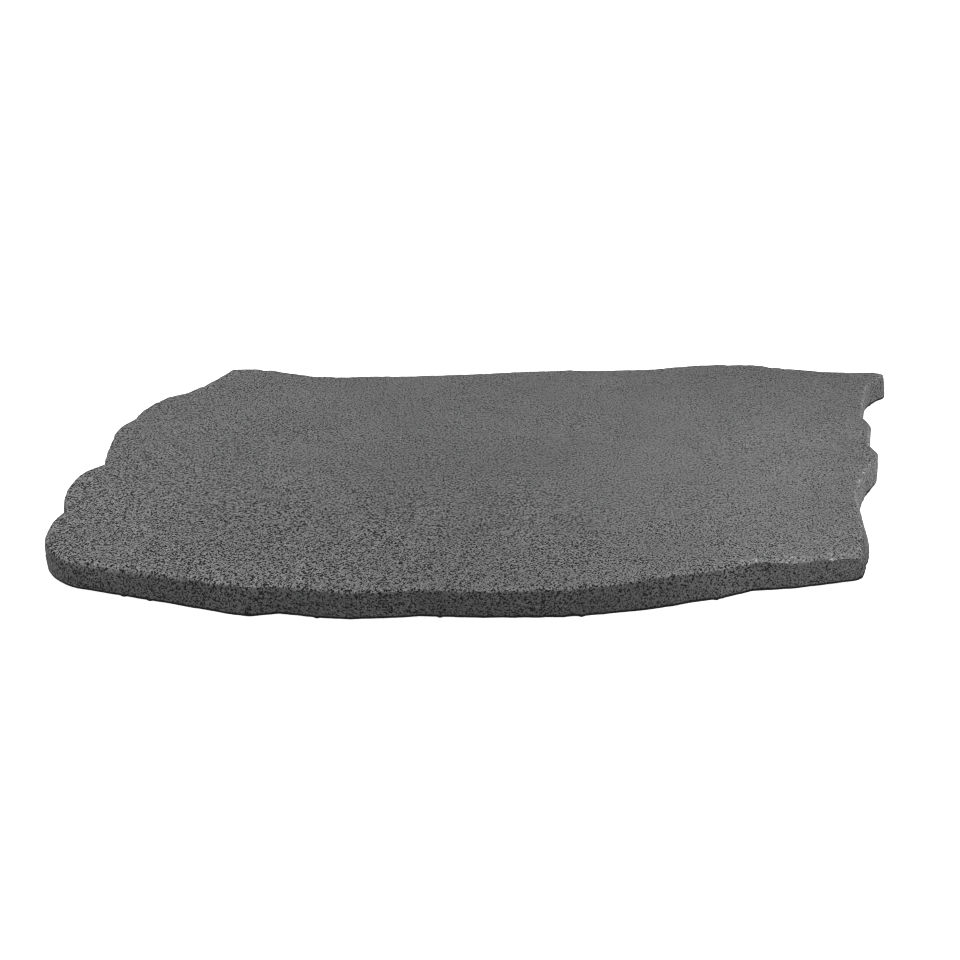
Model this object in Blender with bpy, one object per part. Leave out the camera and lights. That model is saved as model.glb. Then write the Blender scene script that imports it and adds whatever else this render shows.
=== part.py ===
"""A flat basalt stone: one slab split and sawn to an even thickness, with a free, hand-broken edge.

The stone is a single natural piece, so it is a single object. It lies on its sawn underside. +X runs
along its length, +Y across it and +Z up, and the origin is under the middle of its outline.
"""

import math

import bmesh
import bpy
from mathutils import Vector

# Overall sizes over the widest points, in metres.
LENGTH = 0.595
WIDTH = 0.351
THICKNESS = 0.020

# The edge all the way round, in metres.
TOP_ARRIS = 0.0030  # how far the upper edge is worn round
BASE_ARRIS = 0.0005  # the small break on the lower edge
WALL_BELLY = 0.0004  # how far the broken wall swells past a straight line from edge to edge
FLARE_SCALE = 1.0  # steepens or flattens every sloping stretch of wall together

# How finely the shape is drawn.
POINT_SPACING = 0.005  # metres between points along the outline
WALL_ROWS = (0.4, 0.75)  # rows part way up the wall, as shares of its height
ARRIS_ROWS = 3  # steps round the worn upper edge
CORNER_PASSES = 0  # how often the outline is softened where two arcs meet
DIRECTION_PASSES = 10  # and its outward directions, so that the sections don't cross at a corner
FLARE_PASSES = 4  # and the flare
SHARP_ANGLE = math.radians(40)

# The outline of the underside, anticlockwise from the front left. Each corner has its place, as
# shares of LENGTH and WIDTH from the left and front extremes; the bow of the arc on to the next
# corner, as a share of that chord and positive outwards; and the flare, in metres: how far the
# upper edge stands in from the lower one there, negative where the wall is undercut.
FRONT = [
    (0.045, 0.105, 0.004, -0.0010),
    (0.232, 0.007, 0.000, 0.0035),
    (0.262, 0.017, 0.010, 0.0005),
    (0.334, -0.002, 0.000, -0.0010),
    (0.407, 0.008, 0.010, -0.0016),
    (0.528, 0.005, 0.025, -0.0005),
    (0.652, 0.036, 0.000, 0.0045),
    (0.718, 0.069, 0.000, 0.0040),
    (0.752, 0.094, 0.009, 0.0030),
    (0.8004, 0.1056, 0.011, 0.0000),
    (0.862, 0.129, 0.080, -0.0045),
]
RIGHT = [
    (0.873, 0.140, 0.040, 0.0020),
    (0.880, 0.172, 0.020, 0.0060),
    (0.889, 0.223, 0.050, 0.0065),
    (0.895, 0.278, 0.000, 0.0075),
    (0.895, 0.334, -0.040, 0.0050),
    (0.900, 0.389, -0.040, 0.0015),
    (0.912, 0.448, 0.000, 0.0010),
    (0.925, 0.489, 0.030, 0.0005),
    (0.9355, 0.522, 0.120, 0.0010),
    (0.9355, 0.553, 0.060, 0.0008),
    (0.9325, 0.574, 0.000, 0.0000),
    (0.9355, 0.611, 0.000, 0.0003),
    (0.940, 0.638, 0.040, 0.0005),
    (0.944, 0.660, 0.100, 0.0005),
    (0.944, 0.680, 0.080, 0.0005),
    (0.940, 0.714, 0.000, 0.0000),
    (0.947, 0.768, 0.000, 0.0000),
    (0.957, 0.829, -0.040, 0.0000),
    (0.963, 0.860, -0.040, 0.0000),
    (0.974, 0.894, -0.030, 0.0000),
    (0.995, 0.929, 0.080, 0.0020),
]
BACK = [
    (1.000, 0.944, 0.200, 0.0040),
    (0.984, 0.9625, 0.000, 0.0030),
    (0.938, 0.960, -0.030, 0.0020),
    (0.897, 0.971, -0.020, 0.0020),
    (0.840, 0.997, 0.040, 0.0020),
    (0.770, 1.000, 0.020, 0.0020),
    (0.694, 0.977, -0.020, 0.0020),
    (0.585, 0.971, 0.010, 0.0020),
    (0.425, 0.943, 0.000, 0.0020),
    (0.303, 0.934, -0.020, 0.0020),
    (0.255, 0.936, -0.020, 0.0020),
    (0.190, 0.973, 0.040, 0.0020),
]
LEFT = [
    (0.145, 0.976, 0.200, 0.0020),
    (0.135, 0.957, -0.015, 0.0015),
    (0.094, 0.843, 0.100, 0.0010),
    (0.045, 0.745, 0.000, 0.0010),
    (0.0395, 0.697, 0.040, 0.0005),
    (0.0285, 0.673, 0.070, 0.0010),
    (0.0245, 0.613, 0.010, 0.0010),
    (0.030, 0.490, 0.030, 0.0000),
    (0.0125, 0.462, 0.090, 0.0010),
    (0.005, 0.430, 0.060, 0.0010),
    (0.0003, 0.380, 0.060, 0.0010),
    (0.0105, 0.299, 0.060, 0.0003),
    (0.0010, 0.225, 0.050, 0.0003),
    (0.006, 0.171, 0.100, 0.0000),
]
OUTLINE = FRONT + RIGHT + BACK + LEFT

BASALT_COLOUR = (0.125, 0.125, 0.127, 1.0)
BASALT_ROUGHNESS = 0.85


def clear_scene():
    for obj in list(bpy.data.objects):
        bpy.data.objects.remove(obj, do_unlink=True)


def basalt():
    """Dark grey, fine-grained, unpolished stone."""
    material = bpy.data.materials.new("basalt")
    material.use_nodes = True
    shader = material.node_tree.nodes["Principled BSDF"]
    shader.inputs["Base Color"].default_value = BASALT_COLOUR
    shader.inputs["Roughness"].default_value = BASALT_ROUGHNESS
    shader.inputs["Metallic"].default_value = 0.0
    material.diffuse_color = BASALT_COLOUR
    return material


def arc(start, end, bow, steps):
    """The points of one arc from start up to, but not counting, end. bow is its rise over its chord."""
    chord = end - start
    outward = Vector((chord.y, -chord.x))
    if abs(bow) < 1e-6:
        return [start + chord * (i / steps) for i in range(steps)]
    half_angle = 2 * math.atan(2 * abs(bow))
    radius = 0.5 / math.sin(half_angle)
    points = []
    for i in range(steps):
        angle = half_angle * (2 * i / steps - 1)
        along = 0.5 + radius * math.sin(angle)
        rise = radius * (math.cos(angle) - math.cos(half_angle))
        points.append(start + chord * along + outward * math.copysign(rise, bow))
    return points


def averaged(values, passes):
    """The closed run of values with each one softened towards its two neighbours."""
    for _ in range(passes):
        values = [
            values[i - 1] * 0.25 + values[i] * 0.5 + values[(i + 1) % len(values)] * 0.25
            for i in range(len(values))
        ]
    return values


def outline():
    """The base outline's points, their outward directions and the flare of the wall at each."""
    points = []
    flares = []
    for i, (share_x, share_y, bow, flare) in enumerate(OUTLINE):
        next_x, next_y, _, next_flare = OUTLINE[(i + 1) % len(OUTLINE)]
        start = Vector((share_x * LENGTH, share_y * WIDTH))
        end = Vector((next_x * LENGTH, next_y * WIDTH))
        steps = max(2, round((end - start).length / POINT_SPACING))
        points += arc(start, end, bow, steps)
        flares += [FLARE_SCALE * (flare + (next_flare - flare) * k / steps) for k in range(steps)]
    points = averaged(points, CORNER_PASSES)
    count = len(points)
    directions = []
    for i in range(count):
        run = points[(i + 1) % count] - points[i - 1]
        directions.append(Vector((run.y, -run.x)).normalized())
    directions = [d.normalized() for d in averaged(directions, DIRECTION_PASSES)]
    return points, directions, averaged(flares, FLARE_PASSES)


def wall_rows(flare):
    """The wall's section from the underside up to the top face: (inset, height) for each row."""
    wall_top = THICKNESS - TOP_ARRIS
    rows = [(BASE_ARRIS, 0.0), (0.0, BASE_ARRIS)]
    for share in WALL_ROWS:
        height = BASE_ARRIS + share * (wall_top - BASE_ARRIS)
        belly = WALL_BELLY * math.sin(math.pi * share)
        rows.append((flare * height / THICKNESS - belly, height))
    for k in range(ARRIS_ROWS + 1):
        turn = math.pi / 2 * k / ARRIS_ROWS
        height = wall_top + TOP_ARRIS * math.sin(turn)
        rows.append((flare * height / THICKNESS + TOP_ARRIS * (1 - math.cos(turn)), height))
    return rows


def fit_to_size(shape):
    """Stretches the plan to LENGTH by WIDTH over its widest points, with its middle at the origin."""
    for axis, size in ((0, LENGTH), (1, WIDTH)):
        low = min(vert.co[axis] for vert in shape.verts)
        high = max(vert.co[axis] for vert in shape.verts)
        for vert in shape.verts:
            vert.co[axis] = (vert.co[axis] - (low + high) / 2) * size / (high - low)


def slab():
    """Rings of points from the underside to the top face, joined by quads and closed by two flat faces."""
    points, directions, flares = outline()
    sections = [wall_rows(flare) for flare in flares]
    shape = bmesh.new()
    rings = []
    for row in range(len(sections[0])):
        ring = []
        for point, direction, section in zip(points, directions, sections):
            inset, height = section[row]
            place = point - direction * inset
            ring.append(shape.verts.new((place.x, place.y, height)))
        rings.append(ring)
    count = len(points)
    for lower, upper in zip(rings, rings[1:]):
        for i in range(count):
            j = (i + 1) % count
            shape.faces.new((lower[i], lower[j], upper[j], upper[i])).smooth = True
    shape.faces.new(reversed(rings[0]))
    shape.faces.new(rings[-1])
    fit_to_size(shape)
    mesh = bpy.data.meshes.new("stone_slab")
    shape.to_mesh(mesh)
    shape.free()
    mesh.set_sharp_from_angle(angle=SHARP_ANGLE)
    return mesh


def main():
    clear_scene()
    collection = bpy.data.collections.new("basalt_stone")
    bpy.context.scene.collection.children.link(collection)
    mesh = slab()
    mesh.materials.append(basalt())
    collection.objects.link(bpy.data.objects.new("stone_slab", mesh))


main()
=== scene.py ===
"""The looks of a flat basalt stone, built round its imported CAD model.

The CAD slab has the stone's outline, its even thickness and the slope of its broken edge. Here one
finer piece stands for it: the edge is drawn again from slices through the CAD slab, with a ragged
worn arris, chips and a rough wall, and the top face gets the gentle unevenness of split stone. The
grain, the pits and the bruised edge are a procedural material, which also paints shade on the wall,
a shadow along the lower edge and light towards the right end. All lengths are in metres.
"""

import math

import bmesh
import bpy
import numpy as np
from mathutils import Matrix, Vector, noise
from mathutils.geometry import delaunay_2d_cdt


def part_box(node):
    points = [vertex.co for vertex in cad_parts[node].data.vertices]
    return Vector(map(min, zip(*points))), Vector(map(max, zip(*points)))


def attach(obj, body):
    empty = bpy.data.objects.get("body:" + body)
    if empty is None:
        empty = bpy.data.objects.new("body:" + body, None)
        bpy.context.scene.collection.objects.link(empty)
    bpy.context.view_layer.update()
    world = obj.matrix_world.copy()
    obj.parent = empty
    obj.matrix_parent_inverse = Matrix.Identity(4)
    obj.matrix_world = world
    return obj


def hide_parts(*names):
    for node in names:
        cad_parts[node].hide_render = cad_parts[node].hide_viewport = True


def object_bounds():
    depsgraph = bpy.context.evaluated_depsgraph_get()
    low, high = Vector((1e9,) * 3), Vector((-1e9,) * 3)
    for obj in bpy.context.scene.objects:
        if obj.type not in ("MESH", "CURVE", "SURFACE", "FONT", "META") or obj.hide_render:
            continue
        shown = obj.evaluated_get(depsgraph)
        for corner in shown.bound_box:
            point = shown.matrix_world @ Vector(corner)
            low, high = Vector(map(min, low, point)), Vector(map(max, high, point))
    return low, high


SEED = 7

# How finely the stone is drawn.
COLUMN_STEP = 0.0012  # between points along the edge
WALL_STEP = 0.0010  # between rows up the wall
TOP_STEP = 0.0023  # between points on the top face
BASE_STEP = 0.0060  # and on the underside
ARRIS_ROWS = 7  # rows round the worn upper edge
FACE_JITTER = 0.28  # how far a face's points stray, as a share of their spacing
FACE_MARGIN = 0.55  # how far they keep from the face's outline, as a share of their spacing
SAME_POINT = 1e-6  # points of the CAD slab that are nearer than this are one
SAME_FACE_POINT = 1e-7  # and so are points of a face

# How the CAD slab is sliced, and how often what runs round the edge is softened.
SLICE_MARGIN = 0.0002  # the lowest slice is this far above the small break of the lower edge
SLICE_SHARES = (0.35, 0.6, 0.83)  # heights of the others, as shares of the thickness
PLACE_PASSES = 2
INSET_PASSES = 3
ARRIS_PASSES = 1
FACING_PASSES = 170  # the outward directions, so that sections don't cross at a corner
CORNER_ROOM = 0.70  # how much of a corner's radius the sections may use
TIGHT_CORNER = 0.015  # where they have less room than this, the outline doesn't waver
LEAST_TURN = 1e-6  # every place counts as turning at least this much, and so has a radius
LEAST_STEP = 1e-9  # and two rows of a section count as at least this far apart

# Smooth ripples, each with its height, its length and its channel of noise.
OUTLINE_WAVES = ((0.0006, 0.022, 12), (0.00036, 0.022 / 2.3, 13))
ARRIS_RIPPLES = ((0.0008, 0.016, 1), (0.00056, 0.0045, 2))
EDGE_RIPPLES = ((0.00020, 0.014, 3), (0.00016, 0.0060, 4), (0.00012, 0.0028, 6))
TOP_RIPPLES = ((0.00022, 0.085, 8), (0.00014, 0.030, 9), (0.00010, 0.010, 10), (0.00007, 0.0052, 11))
TOP_DROP = 0.00012  # how far the top face lies below the CAD slab's, apart from its ripples

# Small tilted break faces, each set with its height, its size and its channel of noise.
EDGE_FACETS = (0.00022, 0.0075, 5)
BROKEN_FACETS = (0.00075, 0.0042, 7)
BROKEN_INSET = 0.00020  # how far a broken place stands in as a whole
FACET_STEP = 0.4  # how much the break faces differ in height, beside their tilt
FLAT_RELIEF = 0.25  # the share of the edge's relief that is left where the edge turns flat

# How far apart the channels of noise lie.
RIPPLE_CHANNELS = (31.7, -17.3, 5.9)
FACET_CHANNELS = (7.3, 13.1, -3.7)

# The section of the edge.
ARRIS = 0.0021  # mean radius of the worn upper edge
ARRIS_FULLNESS = 1.15  # 1 for a round section, 2 for a flat bevel with crisp sides
BEVEL_FULLNESS = 1.9  # the same where the front arris is bruised
SHOULDER = 0.0011  # the first row of the top face, inside the arris
BASE_BREAK = 0.0004  # the small break along the lower edge
BASE_ROUNDING = 1.6  # 1 for a flat break, more for a rounder one
BASE_ROWS = ((0.9, -80), (0.45, -55), (0.12, -25))  # how far in, as shares of it, and slopes in degrees

# Chips out of the upper edge: how many, how long each is and how much deeper it goes than the arris.
CHIPS = 46
CHIP_LENGTH = (0.0025, 0.0085)
CHIP_DEPTH = (0.0006, 0.0022)

# Places where the arris is worn wider: x, y, reach, and how much further it goes down and in.
WORN = (
    (-0.255, -0.135, 0.055, 0.0044, 0.0028),
    (0.190, -0.132, 0.042, -0.0009, 0.0036),
)

# Broken, rough places on the edge: x, y, reach, how much deeper the arris is knocked off, how dark.
BROKEN = (
    (0.2225, -0.1175, 0.0125, 0.0044, 1.0),
    (0.2835, 0.1440, 0.0100, 0.0012, 0.12),
    (0.2490, -0.0150, 0.0100, 0.0010, 0.12),
)

# Small lumps that stand out along the lower edge at the front: their places along X.
LUMPS_AT = (-0.2396, -0.2226, -0.1180, -0.0437, 0.0420, 0.1260)
LUMP_LENGTH = 0.0028
LUMP_HEIGHT = 0.0022
LUMP_DEPTH = 0.0013
FRONT_FACING = -0.5  # the edge faces the front where its outward direction has less Y than this

# Where the front arris is bruised pale: its reach along X, and a line that it lies in front of.
BRUISED = (0.135, 0.224)
BRUISED_FADE = 6  # it fades in, and out again, over one part in this many of its length
BRUISED_IN_FRONT_OF = -0.115

# What is wall, arris and broken, by how upright the surface is: 1 on the wall, 0 on a flat face.
WALL_UPRIGHT = (0.72, 0.97)  # where it starts being wall, and where it fully is
ARRIS_UPRIGHT = 0.50  # the middle of the arris
ARRIS_SPREAD = 0.45
ARRIS_ABOVE = 0.012  # the lower edge, under this height, isn't arris
BROKEN_UPRIGHT = (0.0, 0.4)

# The wall's painted shade is eased at the right, as painted light where the wall faces the light from the
# right. Pairs named OVER say where an effect starts and is complete.
WALL_PAINTED_LIGHT_RIGHT = 0.19
WALL_PAINTED_LIGHT_RIGHT_OVER = (0.085, 0.130)
RIGHT_EDGE_FROM = 0.228  # to the right of this the wall gets more painted light still, but only behind the corner
RIGHT_EDGE_OVER = (-0.105, -0.060)
RIGHT_EDGE_PAINTED_LIGHT = 0.75
BRUISED_RIGHT_EDGE = 0.6  # how bruised the upper edge is there

# The grain is finest and faintest round one place at the back, and fades a little to the right.
FINE_AT = (0.01, 0.16)
FINE_REACH = (0.42, 0.34)
FINE_GRAIN = 0.60
COARSE_GRAIN = 1.50
COARSENING = 1.5  # how late it grows coarse on the way out
EASE_TO_THE_RIGHT = 0.36
EASE_OVER = (-0.06, 0.24)
FRONT_LEFT_GRAIN = 0.42  # how much stronger it is at the front left
LEFT_OVER = (0.15, -0.15)
FRONT_OVER = (0.14, -0.06)
WALL_GRAIN = 0.12  # and on the wall

# How much paler the stone is towards its two ends, and how much darker at the back. The paleness towards
# the right end is painted light.
RIGHT_END_PAINTED_LIGHT = 0.21
RIGHT_OVER = (0.02, 0.17)
RIGHT_FRONT_OVER = (0.20, 0.04)  # it is paler at the front than at the back
RIGHT_BACK_SHARE = 0.3
PALE_LEFT = 0.09
LEFT_END_OVER = (-0.08, -0.24)
DARKER_BEHIND = 0.11
BEHIND_OVER = (0.05, 0.16)
BEHIND_LEFT_SHARE = 0.35  # how much of that there is at the left

# The colour of the faces: a fine grain of light and dark minerals about one dark grey.
BASALT = (0.0922, 0.0925, 0.0931)
FINE_SIZE = 0.00118
COARSE_SIZE = 0.0021
COARSE_FROM = (0.7, 1.8)  # where the grain is this coarse
COARSE_SHARE = (0.06, 0.32)  # the coarser noise has this share in it
GRAIN_SWING = 8.5
PATCH_SIZE = 0.022  # patches of fainter and of stronger grain
PATCH_FROM = (0.35, 0.65)
PATCH_SWING = (0.76, 1.24)
CLOUD_SIZE = 0.060  # broad clouds that are darker or paler as a whole
CLOUD_FROM = (0.3, 0.7)
CLOUD_TONE = (0.94, 1.05)
LIGHT_SIDE = 0.34  # how far the lightest grains stray from the mean, as a share of how far dark ones do
LIGHT_FROM = 0.22  # above how light a grain that holds
LIGHT_SIDE_MEAN = 0.055  # keeps the mean where it was
PIT_SPACING = 0.0036
PIT_REACH = (0.15, 0.26)  # from the floor of a pit to its rim, as shares of the spacing
PIT_DARKER = 0.82
WALL_PITS_FAINTER = 0.70
FLECK_SPACING = 0.0085
FLECK_REACH = (0.050, 0.085)
FLECK_PALER = 0.7
DARKEST = 0.03  # the darkest tone, as a share of the mean

# The colour of the edge, with painted shade on the wall and a painted shadow along its lower edge.
WALL_DARK_AND_PAINTED_SHADE = 0.645  # how much darker the broken wall is than the faces: partly its own darker broken face, mostly painted shade
FOOT_SHADOW_LINE = (0.0013, 0.0021)  # the painted shadow line along the lower edge fades out between these heights
FOOT_PAINTED_SHADOW = 0.95
BRUISE_SIZE = 0.0026
BRUISE_FROM = (0.53, 0.63)
BRUISE_FLECKS = 3.4  # how much paler the flecks of a bruise are
BRUISE_PALER = 0.20  # and the whole of it
MOTTLE_SIZE = 0.0032
MOTTLE_FROM = (0.46, 0.58)
BROKEN_DARKER = 0.60  # how much darker the hollows of a broken place are
BROKEN_PALER = 0.25  # and how much paler its ridges

# The surface.
ROUGH_FROM = (0.35, 0.65)  # from the darkest to the lightest grains
ROUGHNESS = (0.95, 0.72)
SPECULAR = 0.20
RELIEF_DEPTH = 0.0012
PIT_RELIEF = 0.30  # how deep the pits are, as a share of that

# The studio: a floor, an even surround and three soft suns.
FLOOR_SIZE = 120.0
FLOOR_DROP = 0.0002
FLOOR_COLOUR = (0.93, 0.93, 0.93, 1.0)
FLOOR_GLOW = 0.35
WHITE = (1.0, 1.0, 1.0, 1.0)
SURROUND = 1.0
SUNS = (  # name, direction towards it, strength, and softness in degrees
    ("overhead", (0.05, 0.20, 1.0), 0.85, 60),
    ("right", (1.0, -0.15, 0.30), 1.7, 40),
    ("left", (-1.0, -0.25, 0.30), 1.05, 40),
)

# The camera: where it stands, what it looks at and how wide it sees.
CAMERA_AT = (-0.0195, -1.0065, 0.5185)
CAMERA_AIM = (-0.0195, 0.0110, 0.0)
CAMERA_VIEW = math.radians(33)
SENSOR_WIDTH = 36  # in millimetres
FILTER_WIDTH = 1.1  # narrow, so that the fine grain stays crisp

# The piece's own map: the top face lies over the whole width of it, the wall in strips below the
# top, and the underside at a smaller scale below them.
MAP_NAME = "OFBake"
MAP_MARGIN = 0.004
MAP_TOP_FROM = 0.405
MAP_STRIP_FROM = (0.262, 0.310, 0.358)
MAP_STRIP_HEIGHT = 0.041
MAP_BASE_SIZE = 0.42


def ramp(values, start, end):
    """0 up to start, 1 from end on, and straight between the two. The end may be below the start."""
    return np.clip((values - start) / (end - start), 0, 1)


# ---------------------------------------------------------------- the outline of the CAD slab


def slice_at(stone, height):
    """The outline of the CAD slab at this height: a closed loop of points, anticlockwise from above."""
    shape = bmesh.new()
    shape.from_mesh(stone.data)
    bmesh.ops.remove_doubles(shape, verts=shape.verts, dist=SAME_POINT)
    everything = shape.verts[:] + shape.edges[:] + shape.faces[:]
    bmesh.ops.bisect_plane(
        shape,
        geom=everything,
        plane_co=(0, 0, height),
        plane_no=(0, 0, 1),
        clear_inner=True,
        clear_outer=True,
    )
    shape.verts.ensure_lookup_table()
    start = min(shape.verts, key=lambda vert: (vert.co.x, vert.co.y))
    loop = [start]
    edge = start.link_edges[0]
    while True:
        vert = edge.other_vert(loop[-1])
        if vert is start:
            break
        loop.append(vert)
        edge = next(other for other in vert.link_edges if other is not edge)
    points = np.array([vert.co.to_2d() for vert in loop])
    shape.free()
    return points if area_of(points) > 0 else points[::-1]


def area_of(loop):
    """The signed area of a closed loop of points."""
    after = np.roll(loop, -1, 0)
    return 0.5 * float(np.sum(loop[:, 0] * after[:, 1] - loop[:, 1] * after[:, 0]))


def evenly(loop, step):
    """The same closed loop with points a whole number of equal steps apart."""
    closed = np.vstack([loop, loop[:1]])
    along = np.concatenate([[0.0], np.cumsum(np.linalg.norm(np.diff(closed, axis=0), axis=1))])
    count = round(along[-1] / step)
    wanted = np.arange(count) * along[-1] / count
    return np.stack([np.interp(wanted, along, closed[:, axis]) for axis in (0, 1)], 1)


def softened(values, passes):
    """The closed run of values, each pass softening every value towards its two neighbours."""
    for _ in range(passes):
        values = 0.25 * np.roll(values, 1, 0) + 0.5 * values + 0.25 * np.roll(values, -1, 0)
    return values


def outward(loop, passes):
    """The direction that faces out of the loop at each of its points."""
    run = np.roll(loop, -1, 0) - np.roll(loop, 1, 0)
    facing = np.stack([run[:, 1], -run[:, 0]], 1)
    facing = softened(facing / np.linalg.norm(facing, axis=1, keepdims=True), passes)
    return facing / np.linalg.norm(facing, axis=1, keepdims=True)


def distance_to(loop, places, directions):
    """How far from each place, along its direction, the loop is. The nearest crossing counts."""
    parallel = 1e-15
    run = np.roll(loop, -1, 0) - loop
    gap = loop[None] - places[:, None]
    across = directions[:, None, 0] * run[None, :, 1] - directions[:, None, 1] * run[None, :, 0]
    across = np.where(np.abs(across) < parallel, parallel, across)
    far = (gap[..., 0] * run[None, :, 1] - gap[..., 1] * run[None, :, 0]) / across
    share = (gap[..., 0] * directions[:, None, 1] - gap[..., 1] * directions[:, None, 0]) / across
    far = np.where((share >= 0) & (share <= 1), far, np.inf)
    return far[np.arange(len(places)), np.argmin(np.abs(far), 1)]


# ---------------------------------------------------------------- unevenness


def rippled(places, ripples):
    """The height of a set of smooth ripples at each of these points."""
    total = np.zeros(len(places))
    for height, length, channel in ripples:
        offset = Vector([apart * channel for apart in RIPPLE_CHANNELS])
        total += height * np.array([noise.noise(Vector(place) / length + offset) for place in places])
    return total


def faceted(places, facets):
    """The height of small tilted break faces at each of these points, one face to each cell."""
    height, size, channel = facets
    offset = Vector([apart * channel for apart in FACET_CHANNELS])
    heights = []
    for place in places:
        spot = Vector(place) / size + offset
        centre = noise.voronoi(spot)[1][0]
        tilt = noise.cell_vector(centre * 3.0)
        heights.append((spot - centre).dot(tilt) + FACET_STEP * (noise.cell(centre * 5.0) - 0.5))
    return height * np.array(heights)


def on_the_ground(places):
    """The same places, as points at no height."""
    return np.column_stack([places, np.zeros(len(places))])


def broken_places(places):
    """How broken the edge is at each point, 0 to 1, how much deeper its arris is, and how dark."""
    broken, deeper, darker = np.zeros((3, len(places)))
    for x, y, reach, depth, dark in BROKEN:
        away = np.linalg.norm(places[:, :2] - np.array((x, y)), axis=1)
        near = np.exp(-((away / reach) ** 4))
        broken += near
        deeper += near * depth
        darker += near * dark
    return broken, deeper, darker


def bruised_share(places):
    """How much of the front arris's bruised stretch there is at each point, 0 to 1."""
    along = (places[:, 0] - BRUISED[0]) / (BRUISED[1] - BRUISED[0])
    front = places[:, 1] < BRUISED_IN_FRONT_OF
    return front * np.clip(BRUISED_FADE * along, 0, 1) * np.clip(BRUISED_FADE * (1 - along), 0, 1)


def chipped(loop, rng):
    """How much deeper than usual the upper edge is knocked off at each point of the loop."""
    count = len(loop)
    step = np.linalg.norm(loop - np.roll(loop, 1, 0), axis=1).mean()
    depth = np.zeros(count)
    for _ in range(CHIPS):
        middle = rng.uniform(0, count)
        half = rng.uniform(*CHIP_LENGTH) / step / 2
        deep = rng.uniform(*CHIP_DEPTH)
        away = np.abs((np.arange(count) - middle + count / 2) % count - count / 2)
        depth = np.maximum(depth, deep * np.clip(1 - (away / half) ** 2, 0, 1))
    return depth + broken_places(loop)[1]


def lumps(plan, facing, height):
    """How far the small lumps along the lower edge stand out at each point of a ring."""
    total = np.zeros(len(plan))
    for x in LUMPS_AT:
        near = np.exp(-(((plan[:, 0] - x) / (LUMP_LENGTH / 2)) ** 2)) * (facing[:, 1] < FRONT_FACING)
        total += LUMP_DEPTH * near * np.exp(-((height / LUMP_HEIGHT) ** 2))
    return total


# ---------------------------------------------------------------- the edge


def room_for(loop, facing):
    """How far in from each point of the loop the sections can reach before they cross at a corner."""
    turn = np.cross(np.roll(facing, 1, 0), np.roll(facing, -1, 0))
    step = np.linalg.norm(np.roll(loop, -1, 0) - np.roll(loop, 1, 0), axis=1)
    return CORNER_ROOM * step / np.maximum(turn, LEAST_TURN)


def wall_line(heights, insets, wanted):
    """How far in the plain wall stands at each place, at the height that is wanted there.

    Above the highest slice it carries on straight.
    """
    found = np.empty(len(wanted))
    for i, height in enumerate(wanted):
        found[i] = np.interp(height, heights, [inset[i] for inset in insets])
    slope = (insets[-1] - insets[-2]) / (heights[-1] - heights[-2])
    return found + slope * np.maximum(wanted - heights[-1], 0)


def worn_reach(places, arris):
    """How far the worn upper edge reaches down the wall and in over the top, at each place."""
    down = arris.copy()
    across = arris.copy()
    for x, y, reach, deeper, wider in WORN:
        near = np.exp(-((np.linalg.norm(places - np.array((x, y)), axis=1) / reach) ** 2))
        down += deeper * near
        across += wider * near
    return down, across


def section_rows(thickness, plain_wall, down, across, fullness):
    """The rows of the edge's section, from the underside up to the top face."""
    rows = []
    for share, slope in BASE_ROWS:
        height = np.full(len(down), BASE_BREAK * (1 - share) ** BASE_ROUNDING)
        rows.append((plain_wall(height) + BASE_BREAK * share, height, math.radians(slope)))
    wall_rows = round((thickness - ARRIS) / WALL_STEP)
    for k in range(wall_rows):
        height = BASE_BREAK + (thickness - down - BASE_BREAK) * k / wall_rows
        rows.append((plain_wall(height), height, 0.0))
    for k in range(ARRIS_ROWS + 1):
        turn = math.pi / 2 * k / ARRIS_ROWS
        height = thickness - down + down * math.sin(turn) ** fullness
        inset = across * (1 - math.cos(turn) ** fullness)
        rows.append((plain_wall(height) + inset, height, turn))
    height = np.full(len(down), thickness)
    rows.append((plain_wall(height) + across + SHOULDER, height, math.pi / 2))
    return rows


def edge_sections(stone):
    """The stone's edge: its loop of places, their outward directions, and the rows of its section.

    Each row gives, for every place, how far the surface stands in from it and how high it is, and
    the direction that the surface faces there.
    """
    low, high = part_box(stone.name)
    rng = np.random.default_rng(SEED)
    thickness = high.z - low.z
    heights = (BASE_BREAK + SLICE_MARGIN, *(share * thickness for share in SLICE_SHARES))
    slices = [slice_at(stone, low.z + height) for height in heights]
    places = softened(evenly(slices[0], COLUMN_STEP), PLACE_PASSES)
    facing = outward(places, FACING_PASSES)
    insets = [-softened(distance_to(loop, places, facing), INSET_PASSES) for loop in slices]
    room = room_for(places, facing)

    spots = on_the_ground(places)
    waves = rippled(spots, OUTLINE_WAVES) * ramp(room, TIGHT_CORNER, 2 * TIGHT_CORNER)
    places = places + facing * waves[:, None]
    arris = ARRIS + rippled(spots, ARRIS_RIPPLES) + chipped(places, rng)
    down, across = worn_reach(places, softened(arris, ARRIS_PASSES))
    across = np.minimum(across, room - insets[-1] - SHOULDER)
    fullness = ARRIS_FULLNESS + (BEVEL_FULLNESS - ARRIS_FULLNESS) * bruised_share(places)

    def plain_wall(wanted):
        """How far in the plain wall stands at each place, at the height that is wanted there."""
        return wall_line(heights, insets, wanted)

    return places, facing, section_rows(thickness, plain_wall, down, across, fullness)


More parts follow.
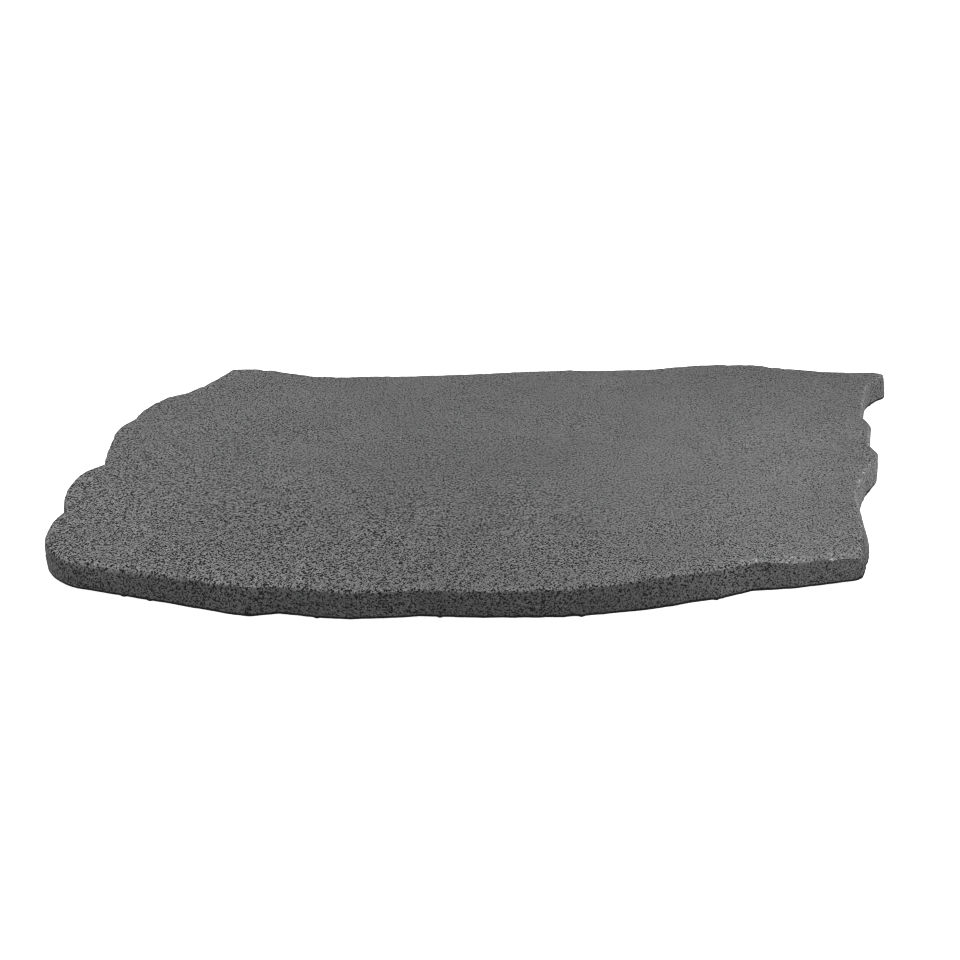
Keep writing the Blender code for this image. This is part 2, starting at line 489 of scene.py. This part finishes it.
def edge_points(stone):
    """The rings of points of the finished edge, from the underside to the top face.

    With them goes how upright the edge's section is at each point: 1 on the wall, 0 on a flat face.
    """
    low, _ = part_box(stone.name)
    places, facing, rows = edge_sections(stone)
    rings = []
    uprights = []
    for row, (inset, height, turn) in enumerate(rows):
        above = rows[min(row + 1, len(rows) - 1)]
        below = rows[max(row - 1, 0)]
        rise = above[1] - below[1]
        uprights.append(rise / np.maximum(np.hypot(rise, above[0] - below[0]), LEAST_STEP))
        plan = places - facing * inset[:, None]
        smooth = np.column_stack([plan, low.z + height])
        out = np.column_stack([facing * math.cos(turn), np.full(len(places), math.sin(turn))])
        wall = max(0.0, math.cos(turn))
        relief = rippled(smooth, EDGE_RIPPLES) + faceted(smooth, EDGE_FACETS)
        relief += broken_places(plan)[0] * (faceted(smooth, BROKEN_FACETS) - BROKEN_INSET)
        relief += lumps(plan, facing, height) * wall
        strength = FLAT_RELIEF + (1 - FLAT_RELIEF) * wall
        moved = smooth + out * (relief * strength)[:, None]
        moved[:, 2] = np.maximum(moved[:, 2], low.z)
        rings.append(moved)
    return rings, np.array(uprights)


# ---------------------------------------------------------------- the two faces


def inside(points, loop):
    """Which of the points lie inside the closed loop."""
    found = np.zeros(len(points), bool)
    for (x0, y0), (x1, y1) in zip(loop, np.roll(loop, -1, 0)):
        if y0 == y1:
            continue
        spans = (points[:, 1] >= min(y0, y1)) & (points[:, 1] < max(y0, y1))
        crossing = x0 + (points[spans, 1] - y0) * (x1 - x0) / (y1 - y0)
        found[np.flatnonzero(spans)[points[spans, 0] < crossing]] ^= True
    return found


def clear_of(points, loop, margin):
    """Which of the points are further than margin from every point of the loop."""
    clear = np.ones(len(points), bool)
    for place in loop:
        clear &= ((points - place) ** 2).sum(1) > margin**2
    return clear


def lattice(loop, step, rng):
    """Points a step apart inside the loop, in staggered rows and a little out of line."""
    low = loop.min(0)
    high = loop.max(0)
    rise = step * math.sqrt(3) / 2
    points = []
    for row in range(int((high[1] - low[1]) / rise) + 1):
        across = np.arange(low[0] + step / 2 * (row % 2), high[0], step)
        points.append(np.column_stack([across, np.full(len(across), low[1] + row * rise)]))
    points = np.vstack(points)
    points += rng.uniform(-1, 1, points.shape) * step * FACE_JITTER
    points = points[inside(points, loop)]
    return points[clear_of(points, loop, step * FACE_MARGIN)]


def filled(loop, step, rng):
    """Triangles over the loop: the points inside it, and faces that index the loop and then those."""
    within = lattice(loop, step, rng)
    points = [Vector(p) for p in np.vstack([loop, within])]
    around = [list(range(len(loop)))]
    inside_only = 1
    made = delaunay_2d_cdt(points, [], around, inside_only, SAME_FACE_POINT)
    new_points, _, new_faces, came_from = made[:4]
    original = [sources[0] if sources else None for sources in came_from]
    if None in original or len(new_points) != len(points):
        raise ValueError("the face's outline crosses itself")
    return within, [tuple(original[i] for i in face) for face in new_faces]


def uneven_top(places, thickness):
    """The height of the top face: flat, with long soft swells and shallow dips."""
    return thickness + rippled(on_the_ground(places), TOP_RIPPLES) - TOP_DROP


# ---------------------------------------------------------------- the piece


def stone_piece(stone):
    """The visible stone, which stands for the CAD slab."""
    rng = np.random.default_rng(SEED + 1)
    low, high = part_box(stone.name)
    rings, uprights = edge_points(stone)
    count = len(rings[0])
    last = len(rings) - 1
    top_loop = rings[last][:, :2]
    base_loop = rings[0][:, :2]
    rings[last][:, 2] = uneven_top(top_loop, high.z)
    top_points, top_faces = filled(top_loop, TOP_STEP, rng)
    base_points, base_faces = filled(base_loop, BASE_STEP, rng)
    top_points = np.column_stack([top_points, uneven_top(top_points, high.z)])
    base_points = np.column_stack([base_points, np.full(len(base_points), low.z)])
    points = np.vstack(rings + [top_points, base_points])
    first_top = count * len(rings)
    first_base = first_top + len(top_points)

    def placed(face, ring, first):
        """A face's indices among all the points, where the first ones count round the ring."""
        return tuple(ring * count + i if i < count else first + i - count for i in face)

    faces = wall_faces(count, last)
    faces += [placed(face, last, first_top) for face in top_faces]
    first_base_face = len(faces)
    faces += [placed(face[::-1], 0, first_base) for face in base_faces]

    mesh = bpy.data.meshes.new("basalt_slab")
    mesh.from_pydata(points.tolist(), [], faces)
    mesh.update()
    mark_surface(mesh, uprights)
    lay_out_map(mesh, rings, first_base_face)
    mesh.shade_smooth()
    piece = bpy.data.objects.new("basalt_slab", mesh)
    bpy.context.scene.collection.objects.link(piece)
    return piece


def wall_faces(count, last):
    """The quads between the rings, each of count points, from the first up to the last."""
    faces = []
    for row in range(last):
        for i in range(count):
            j = (i + 1) % count
            a, b = row * count, (row + 1) * count
            faces.append((a + i, a + j, b + j, b + i))
    return faces


def mark_surface(mesh, uprights):
    """Marks each point for the material: its paleness, with painted light, its wall, which carries painted
    shade, and its bruises, broken places and grain.
    """
    spots = vectors_of(mesh.vertices, "co")
    x, y, z = spots.T
    upright = np.zeros(len(spots))
    upright[: uprights.size] = uprights.ravel()
    right_edge = (x > RIGHT_EDGE_FROM) * ramp(y, *RIGHT_EDGE_OVER)
    # the wall mark carries the painted shade of the wall, eased below by painted light at the right
    wall = ramp(upright, *WALL_UPRIGHT)
    # painted light: less painted shade on the wall towards the right, and less again behind the right
    # corner
    wall *= 1 - WALL_PAINTED_LIGHT_RIGHT * ramp(x, *WALL_PAINTED_LIGHT_RIGHT_OVER)
    wall *= 1 - RIGHT_EDGE_PAINTED_LIGHT * right_edge
    arris = np.clip(1 - np.abs(upright - ARRIS_UPRIGHT) / ARRIS_SPREAD, 0, 1) * (z > ARRIS_ABOVE)
    marks = {
        "pale": paleness(x, y),
        "wall": wall,
        "bruised": arris * np.maximum(bruised_share(spots), BRUISED_RIGHT_EDGE * right_edge),
        "broken": broken_places(spots)[2] * ramp(upright, *BROKEN_UPRIGHT),
        "coarse": coarseness(x, y, wall),
    }
    for name, values in marks.items():
        layer = mesh.attributes.new(name, "FLOAT", "POINT")
        layer.data.foreach_set("value", values.astype(np.float32))


def paleness(x, y):
    """How pale the stone is at each place, about 1: painted light towards the right end, paler towards the
    left end and darker at the back.
    """
    right = ramp(x, *RIGHT_OVER)
    # painted light: paler towards the right end, more so at the front
    pale = 1 + RIGHT_END_PAINTED_LIGHT * right * np.maximum(ramp(y, *RIGHT_FRONT_OVER), RIGHT_BACK_SHARE)
    pale += PALE_LEFT * ramp(x, *LEFT_END_OVER)
    behind = BEHIND_LEFT_SHARE + (1 - BEHIND_LEFT_SHARE) * right
    return pale - DARKER_BEHIND * ramp(y, *BEHIND_OVER) * behind


def coarseness(x, y, wall):
    """How coarse and strong the grain is at each place, about 1."""
    away = np.hypot((x - FINE_AT[0]) / FINE_REACH[0], (y - FINE_AT[1]) / FINE_REACH[1])
    coarse = FINE_GRAIN + (COARSE_GRAIN - FINE_GRAIN) * np.clip(away, 0, 1) ** COARSENING
    coarse *= 1 - EASE_TO_THE_RIGHT * ramp(x, *EASE_OVER)
    front_left = ramp(x, *LEFT_OVER) * ramp(y, *FRONT_OVER) * (1 - wall)
    return coarse * (1 + FRONT_LEFT_GRAIN * front_left + WALL_GRAIN * wall)


def vectors_of(items, name):
    """This vector property of every item, as rows of three numbers."""
    values = np.empty(len(items) * 3, np.float32)
    items.foreach_get(name, values)
    return values.reshape(-1, 3)


def indices_of(items, name):
    """This whole-number property of every item."""
    values = np.empty(len(items), np.int32)
    items.foreach_get(name, values)
    return values


def lay_out_map(mesh, rings, first_base_face):
    """The piece's own map, so that a texture baked from the material is as sharp as it can be."""
    low = np.min([ring.min(0) for ring in rings], 0)
    high = np.max([ring.max(0) for ring in rings], 0)
    spots = vectors_of(mesh.vertices, "co")[indices_of(mesh.loops, "vertex_index")]
    starts = indices_of(mesh.polygons, "loop_start")
    wide = 1 - 2 * MAP_MARGIN

    places = (spots[:, :2] - low[:2]) / (high[0] - low[0])
    uv = MAP_MARGIN + places * wide + np.array([0, MAP_TOP_FROM])
    base = starts[first_base_face]
    uv[base:] = MAP_MARGIN + places[base:] * MAP_BASE_SIZE
    uv[base:, 0] = MAP_MARGIN + MAP_BASE_SIZE - (uv[base:, 0] - MAP_MARGIN)

    count = len(rings[0])
    strips = len(MAP_STRIP_FROM)
    along = np.linspace(0, strips, count + 1)
    rises = [np.linalg.norm(b - a, axis=1).mean() for a, b in zip(rings, rings[1:])]
    up = np.concatenate([[0.0], np.cumsum(rises)])
    up /= up[-1]
    for row in range(len(rings) - 1):
        for i in range(count):
            strip = min(int(along[i]), strips - 1)
            left = MAP_MARGIN + (along[i] - strip) * wide
            right = MAP_MARGIN + min(along[i + 1] - strip, 1) * wide
            bottom = MAP_STRIP_FROM[strip] + up[row] * MAP_STRIP_HEIGHT
            top = MAP_STRIP_FROM[strip] + up[row + 1] * MAP_STRIP_HEIGHT
            at = starts[row * count + i]
            uv[at : at + 4] = [(left, bottom), (right, bottom), (right, top), (left, top)]
    layer = mesh.uv_layers.new(name=MAP_NAME, do_init=False)
    layer.uv.foreach_set("vector", uv.astype(np.float32).ravel())


# ---------------------------------------------------------------- the material


class Nodes:
    """A material's node tree, with short ways to add and join its nodes."""

    def __init__(self, material):
        self.tree = material.node_tree

    def add(self, kind, **settings):
        """A new node with these settings."""
        node = self.tree.nodes.new(kind)
        for name, value in settings.items():
            setattr(node, name, value)
        return node

    def feed(self, value, socket):
        """Sets a socket to a number, or joins it to another node's output."""
        if isinstance(value, bpy.types.NodeSocket):
            self.tree.links.new(value, socket)
        else:
            socket.default_value = value

    def noise(self, place, size, detail, rough, warp=0.0):
        """Soft noise whose features are about size across."""
        node = self.add("ShaderNodeTexNoise", normalize=True)
        self.feed(place, node.inputs["Vector"])
        node.inputs["Scale"].default_value = 1 / size
        node.inputs["Detail"].default_value = detail
        node.inputs["Roughness"].default_value = rough
        node.inputs["Distortion"].default_value = warp
        return node.outputs["Fac"]

    def dots(self, place, spacing, reach):
        """Dots about spacing apart: 1 as far out as the start of their reach, 0 beyond its end."""
        node = self.add("ShaderNodeTexVoronoi", feature="F1")
        self.feed(place, node.inputs["Vector"])
        node.inputs["Scale"].default_value = 1 / spacing
        return self.ranged(node.outputs["Distance"], reach, (1.0, 0.0))

    def ranged(self, value, source, target=(0.0, 1.0), smooth=True):
        """The value as it goes through the source range, as a number through the target range."""
        node = self.add("ShaderNodeMapRange", clamp=True)
        node.interpolation_type = "SMOOTHSTEP" if smooth else "LINEAR"
        self.feed(value, node.inputs["Value"])
        for name, bound in zip(("From Min", "From Max", "To Min", "To Max"), (*source, *target)):
            node.inputs[name].default_value = bound
        return node.outputs["Result"]

    def math(self, operation, first, second):
        """The result of a sum of this kind on the two values."""
        node = self.add("ShaderNodeMath", operation=operation)
        self.feed(first, node.inputs[0])
        self.feed(second, node.inputs[1])
        return node.outputs[0]

    def plus(self, first, second):
        return self.math("ADD", first, second)

    def minus(self, first, second):
        return self.math("SUBTRACT", first, second)

    def times(self, first, second):
        return self.math("MULTIPLY", first, second)

    def less(self, value, share):
        """The value with this share of it taken away."""
        return self.times(value, self.minus(1.0, share))

    def mark(self, name):
        """What the surface is marked with under this name."""
        return self.add("ShaderNodeAttribute", attribute_name=name).outputs["Fac"]


def grain_noise(nodes, place):
    """The grain, about 0.5: fine noise, with more of a coarser one where it is marked coarse."""
    fine = nodes.noise(place, FINE_SIZE, detail=2.0, rough=0.60)
    coarse = nodes.noise(place, COARSE_SIZE, detail=2.0, rough=0.55, warp=0.4)
    share = nodes.ranged(nodes.mark("coarse"), COARSE_FROM, COARSE_SHARE, smooth=False)
    return nodes.plus(nodes.less(fine, share), nodes.times(coarse, share))


def mineral_tone(nodes, place, grain, pits):
    """Light and dark minerals about a tone of 1, with dark pits and a few pale flecks."""
    patches = nodes.noise(place, PATCH_SIZE, detail=2.0, rough=0.6)
    clouds = nodes.noise(place, CLOUD_SIZE, detail=2.0, rough=0.55)
    spread = nodes.times(nodes.ranged(patches, PATCH_FROM, PATCH_SWING), nodes.mark("coarse"))
    swing = nodes.times(nodes.times(nodes.minus(grain, 0.5), GRAIN_SWING), spread)
    light_side = nodes.plus(nodes.times(swing, LIGHT_SIDE), LIGHT_FROM * (1 - LIGHT_SIDE))
    tone = nodes.plus(nodes.math("MINIMUM", swing, light_side), 1.0 + LIGHT_SIDE_MEAN)
    # the pale mark holds painted light towards the right end
    tone = nodes.times(tone, nodes.mark("pale"))
    tone = nodes.times(tone, nodes.ranged(clouds, CLOUD_FROM, CLOUD_TONE))
    tone = nodes.minus(tone, nodes.times(nodes.times(pits, nodes.mark("coarse")), PIT_DARKER))
    flecks = nodes.dots(place, FLECK_SPACING, FLECK_REACH)
    tone = nodes.plus(tone, nodes.times(flecks, FLECK_PALER))
    return nodes.math("MAXIMUM", tone, DARKEST)


def edge_tone(nodes, place, tone):
    """The tone made darker on the wall by painted shade and along the lower edge by a painted shadow, and
    changed by bruises and breaks.
    """
    # painted shade: the wall is made darker, partly for its broken face and mostly as the shade the wall
    # stands in
    tone = nodes.less(tone, nodes.times(nodes.mark("wall"), WALL_DARK_AND_PAINTED_SHADE))
    parts = nodes.add("ShaderNodeSeparateXYZ")
    nodes.feed(place, parts.inputs[0])
    # painted shadow: a dark line along the lower edge, where the stone meets the floor
    foot_shadow = nodes.ranged(parts.outputs["Z"], FOOT_SHADOW_LINE, (1.0, 0.0))
    tone = nodes.less(tone, nodes.times(foot_shadow, FOOT_PAINTED_SHADOW))

    bruised = nodes.mark("bruised")
    flecks = nodes.ranged(nodes.noise(place, BRUISE_SIZE, detail=4.0, rough=0.75), BRUISE_FROM)
    flecks = nodes.times(nodes.times(flecks, bruised), BRUISE_FLECKS)
    tone = nodes.plus(tone, nodes.plus(flecks, nodes.times(bruised, BRUISE_PALER)))

    mottle = nodes.noise(place, MOTTLE_SIZE, detail=3.0, rough=0.7)
    mottle = nodes.ranged(mottle, MOTTLE_FROM, (BROKEN_DARKER, -BROKEN_PALER))
    return nodes.less(tone, nodes.times(nodes.mark("broken"), mottle))


def basalt_material():
    """Dark grey basalt: a fine grain with dark pits, cloudy patches and a bruised, broken edge, with
    painted shade on the wall and a painted shadow along its lower edge.
    """
    material = bpy.data.materials.new("basalt_stone")
    material.use_nodes = True
    nodes = Nodes(material)
    shader = material.node_tree.nodes["Principled BSDF"]
    place = nodes.add("ShaderNodeTexCoord").outputs["Object"]
    grain = grain_noise(nodes, place)
    pits = nodes.dots(place, PIT_SPACING, PIT_REACH)
    pits = nodes.less(pits, nodes.times(nodes.mark("wall"), WALL_PITS_FAINTER))
    tone = edge_tone(nodes, place, mineral_tone(nodes, place, grain, pits))

    tint = nodes.add("ShaderNodeVectorMath", operation="SCALE")
    tint.inputs[0].default_value = BASALT
    nodes.feed(tone, tint.inputs["Scale"])
    nodes.feed(tint.outputs[0], shader.inputs["Base Color"])
    rough = nodes.ranged(grain, ROUGH_FROM, ROUGHNESS, smooth=False)
    nodes.feed(rough, shader.inputs["Roughness"])
    shader.inputs["Specular IOR Level"].default_value = SPECULAR

    bump = nodes.add("ShaderNodeBump")
    bump.inputs["Strength"].default_value = 1.0
    bump.inputs["Distance"].default_value = RELIEF_DEPTH
    nodes.feed(nodes.minus(grain, nodes.times(pits, PIT_RELIEF)), bump.inputs["Height"])
    nodes.feed(bump.outputs["Normal"], shader.inputs["Normal"])
    return material


# ---------------------------------------------------------------- the studio


def floor_material():
    """Plain matt white, lit a little from beneath like a light table, so that shadows on it stay faint."""
    material = bpy.data.materials.new("studio_floor")
    material.use_nodes = True
    shader = material.node_tree.nodes["Principled BSDF"]
    shader.inputs["Base Color"].default_value = FLOOR_COLOUR
    shader.inputs["Roughness"].default_value = 1.0
    shader.inputs["Specular IOR Level"].default_value = 0.0
    shader.inputs["Emission Color"].default_value = WHITE
    shader.inputs["Emission Strength"].default_value = FLOOR_GLOW
    return material


def add_floor(height):
    """A plain pale floor, just under the stone."""
    shape = bmesh.new()
    bmesh.ops.create_grid(shape, x_segments=1, y_segments=1, size=FLOOR_SIZE / 2)
    mesh = bpy.data.meshes.new("studio_floor")
    shape.to_mesh(mesh)
    shape.free()
    mesh.materials.append(floor_material())
    floor = bpy.data.objects.new("studio_floor", mesh)
    floor.location.z = height
    bpy.context.scene.collection.objects.link(floor)


def add_sun(name, towards, strength, softness):
    """A far-off soft light that shines from the direction towards, over an angle of softness."""
    light = bpy.data.lights.new(name, "SUN")
    light.energy = strength
    light.angle = math.radians(softness)
    lamp = bpy.data.objects.new(name, light)
    lamp.rotation_euler = Vector(towards).to_track_quat("Z", "Y").to_euler()
    bpy.context.scene.collection.objects.link(lamp)


def add_lights():
    """An even white surround, a soft light overhead and a little behind, and one from each side."""
    world = bpy.data.worlds.new("studio")
    world.use_nodes = True
    background = world.node_tree.nodes["Background"]
    background.inputs["Color"].default_value = WHITE
    background.inputs["Strength"].default_value = SURROUND
    bpy.context.scene.world = world
    for name, towards, strength, softness in SUNS:
        add_sun(name, towards, strength, softness)


def add_camera():
    """The camera, at the height and distance from which the whole stone just fills the picture."""
    lens = bpy.data.cameras.new("camera")
    lens.sensor_width = SENSOR_WIDTH
    lens.angle = CAMERA_VIEW
    camera = bpy.data.objects.new("camera", lens)
    camera.location = CAMERA_AT
    aim = Vector(CAMERA_AIM) - Vector(CAMERA_AT)
    camera.rotation_euler = aim.to_track_quat("-Z", "Y").to_euler()
    bpy.context.scene.collection.objects.link(camera)
    bpy.context.scene.camera = camera


def main(frame, cad_box):
    """Builds everything round the frame."""
    stone = frame["nodes"]["stone_slab"]
    piece = stone_piece(stone)
    piece.data.materials.append(basalt_material())
    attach(piece, "root")
    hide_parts("stone_slab")
    add_floor(cad_box[0].z - FLOOR_DROP)
    add_lights()
    add_camera()
    view = bpy.context.scene.view_settings
    view.view_transform = "Standard"
    view.look = "None"
    bpy.context.scene.cycles.filter_width = FILTER_WIDTH


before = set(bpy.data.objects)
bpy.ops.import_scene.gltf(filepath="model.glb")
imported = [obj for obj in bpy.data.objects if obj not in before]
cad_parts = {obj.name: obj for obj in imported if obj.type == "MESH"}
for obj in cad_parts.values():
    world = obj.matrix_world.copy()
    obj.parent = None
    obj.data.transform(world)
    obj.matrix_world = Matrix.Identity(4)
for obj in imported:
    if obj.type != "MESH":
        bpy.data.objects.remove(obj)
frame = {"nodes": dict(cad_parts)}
cad_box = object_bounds()
main(frame, cad_box)
